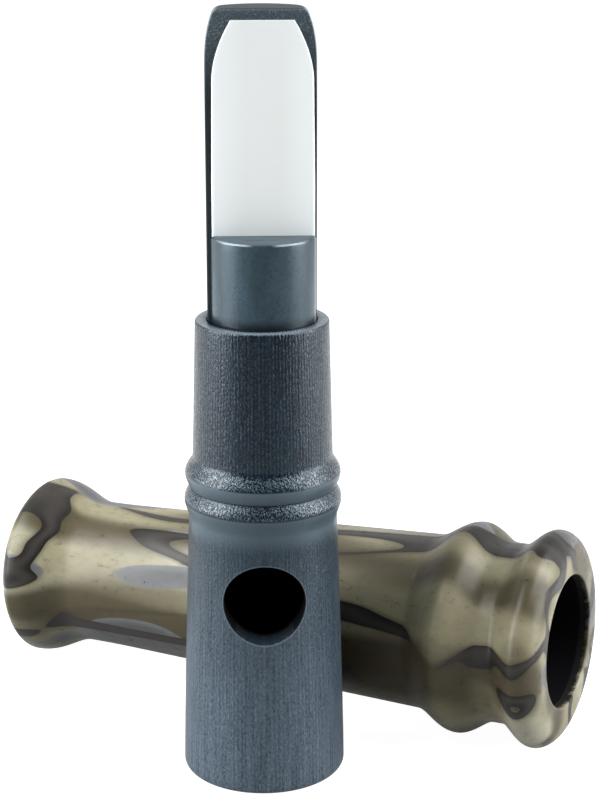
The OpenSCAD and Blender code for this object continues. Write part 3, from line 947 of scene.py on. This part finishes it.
class BIRDCALL_OT_call_body(bpy.types.Operator):
    """Turns the call body, with its beads, plug, socket and port"""

    bl_idname = "bird_call.call_body"
    bl_label = "Call body"

    def execute(self, context):
        values = context.scene.bird_call_body
        piece = call_body_shell(values).piece("call_body_turned")
        call_body_finish(piece, values)
        hand_over(piece, "insert", "call_body")
        return {"FINISHED"}


class BIRDCALL_OT_guts(bpy.types.Operator):
    """Shapes the tone board and the wedge"""

    bl_idname = "bird_call.guts"
    bl_label = "Tone board and wedge"

    def execute(self, context):
        values = context.scene.bird_call_guts
        board = tone_board_shell(values).piece("tone_board_moulded")
        tone_board_finish(board, values)
        hand_over(board, "tone_board", "guts")
        wedge = wedge_shell(values).piece("wedge_moulded")
        wedge_finish(wedge, values)
        hand_over(wedge, "wedge", "wedge")
        return {"FINISHED"}


class BIRDCALL_OT_reed(bpy.types.Operator):
    """Cuts the reed, which lies over the ramp of the tone board"""

    bl_idname = "bird_call.reed"
    bl_label = "Reed"

    def execute(self, context):
        values = context.scene.bird_call_guts
        piece = reed_shell(values).piece("reed_film")
        reed_finish(piece, values)
        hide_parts("reed")
        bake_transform(piece)
        return {"FINISHED"}


class BIRDCALL_OT_barrel(bpy.types.Operator):
    """Turns the barrel and lays it behind the call body"""

    bl_idname = "bird_call.barrel"
    bl_label = "Barrel"

    def execute(self, context):
        values = context.scene.bird_call_barrel
        shell, socket_r = barrel_shell(values)
        piece = shell.piece("barrel_turned")
        x, y, along = face_middles(piece).T
        unprinted = (along > 1.6 * MM) & (along < values.length - values.mouth_l)
        lined = (np.hypot(x, y) < socket_r + 0.01 * MM) & unprinted
        lay_barrel(piece, socket_r)
        barrel_finish(piece, values, lined)
        hand_over(piece, "barrel", "barrel")
        return {"FINISHED"}


class BIRDCALL_OT_stage(bpy.types.Operator):
    """Sets the floor, the lamps, the world and the camera"""

    bl_idname = "bird_call.stage"
    bl_label = "Stage"

    def execute(self, context):
        values, scene = context.scene.bird_call_stage, context.scene
        floor_half, floor_z = 4.0, -0.03 * MM
        side = np.linspace(-floor_half, floor_half, 9)
        x, y = np.meshgrid(side, side)
        spots = np.column_stack([x.ravel(), y.ravel(), np.full(x.size, floor_z)])
        quads = quads_between(np.arange(x.size).reshape(x.shape)).reshape(-1, 4)
        floor_mesh = bpy.data.meshes.new("floor")
        floor_mesh.from_pydata(spots.tolist(), [], quads.tolist())
        put("floor", floor_mesh)
        paint = Finish("pale_floor", Roughness=0.9, Specular_IOR_Level=0.1,
                       Base_Color=(*values.floor_tone, 1.0), Emission_Strength=values.floor_white)
        camera_ray, glossy_ray, through_ray = paint.rays()
        x, y, _ = paint.axes(paint.place())
        # In reflections the floor glows less in front of the call, and painted shadow dims its glow close
        # round the pieces.
        beside = ((x * x + y * y) ** 0.5).step(0.03, 0.11)
        ahead = (-y).step(0.02, 0.22)
        mirrored = glossy_ray * 0.86 * (1 - 0.93 * ahead) * (0.2 + 0.8 * beside)
        seen = camera_ray + through_ray + mirrored
        paint.feed(Emission_Color=paint.mix(seen, (0.0, 0.0, 0.0), (1.0, 1.0, 1.0)))
        floor_mesh.materials.append(paint.owner)

        sky = Finish("studio", "worlds")
        scene.world = sky.owner
        camera_ray, glossy_ray, through_ray = sky.rays()
        ahead = -sky.axes(sky.node("ShaderNodeTexCoord", {}, out="Generated"))[1]
        seen = camera_ray + through_ray + glossy_ray * (1 - 0.95 * ahead.step(0.05, 0.7))
        sky.feed(Color=sky.mix(seen, (values.fill,) * 3, (1.0, 1.0, 1.0)))

        side, high, aim_z = values.side_away, values.high_away, 0.06
        side_size, high_size = (0.30, 0.44), (0.44, 0.19)
        side_y, side_z, high_y, high_z = -0.06, 0.17, -0.14 * high, 0.76 * high + aim_z
        for name, place, (width, height), power in (
                ("left_lamp", (-side, side_y, side_z), side_size, 1.13 * values.side_power),
                ("right_lamp", (side, side_y, side_z), side_size, 0.90 * values.side_power),
                ("high_left_lamp", (-0.60 * high, high_y, high_z), high_size, values.high_power),
                ("high_right_lamp", (0.60 * high, high_y, high_z), high_size, values.high_power)):
            lamp = bpy.data.lights.new(name, "AREA")
            lamp.shape, lamp.size, lamp.size_y, lamp.energy = "RECTANGLE", width, height, power
            holder = put(name, lamp)
            holder.location = place
            toward = np.array([0.0, 0.0, aim_z]) - np.array(place)
            tilt = float(np.arccos(-toward[2] / np.linalg.norm(toward)))
            holder.rotation_euler = (tilt, 0.0, float(np.arctan2(-toward[0], toward[1])))

        camera_pitch, camera_yaw = 16.52, -2.0
        lens = bpy.data.cameras.new("camera")
        lens.lens, lens.sensor_width = values.lens, 36.0
        camera = put("camera", lens)
        camera.location = (-0.004523, -0.286557, 0.14114)
        camera.rotation_euler = (radians(90 - camera_pitch), 0.0, radians(camera_yaw))
        scene.camera = camera
        scene.view_settings.view_transform = "Standard"
        return {"FINISHED"}


class BIRDCALL_PT_panel(bpy.types.Panel):
    """Lists the pieces and the stage"""

    bl_idname = "BIRDCALL_PT_panel"
    bl_label = "Bird call"
    bl_space_type = "VIEW_3D"
    bl_region_type = "UI"
    bl_category = "Bird call"

    def draw(self, context):
        for operator in OPERATORS:
            self.layout.operator(operator.bl_idname)
        for name, group in GROUPS.items():
            box = self.layout.box()
            for key in group.__annotations__:
                box.prop(getattr(context.scene, name), key)


OPERATORS = (BIRDCALL_OT_stage, BIRDCALL_OT_call_body, BIRDCALL_OT_guts, BIRDCALL_OT_reed, BIRDCALL_OT_barrel)
GROUPS = {"bird_call_body": CallBodyValues, "bird_call_guts": GutsValues, "bird_call_barrel": BarrelValues,
          "bird_call_stage": StageValues}


def register():
    for kind in (*GROUPS.values(), *OPERATORS, BIRDCALL_PT_panel):
        bpy.utils.register_class(kind)
    for name, group in GROUPS.items():
        setattr(bpy.types.Scene, name, PointerProperty(type=group))


def unregister():
    for name in GROUPS:
        delattr(bpy.types.Scene, name)
    for kind in (BIRDCALL_PT_panel, *reversed(OPERATORS), *reversed(tuple(GROUPS.values()))):
        bpy.utils.unregister_class(kind)


def main():
    register()
    bpy.ops.bird_call.stage()
    bpy.ops.bird_call.call_body()
    bpy.ops.bird_call.guts()
    bpy.ops.bird_call.reed()
    bpy.ops.bird_call.barrel()


if __name__ == "__main__":
    main()
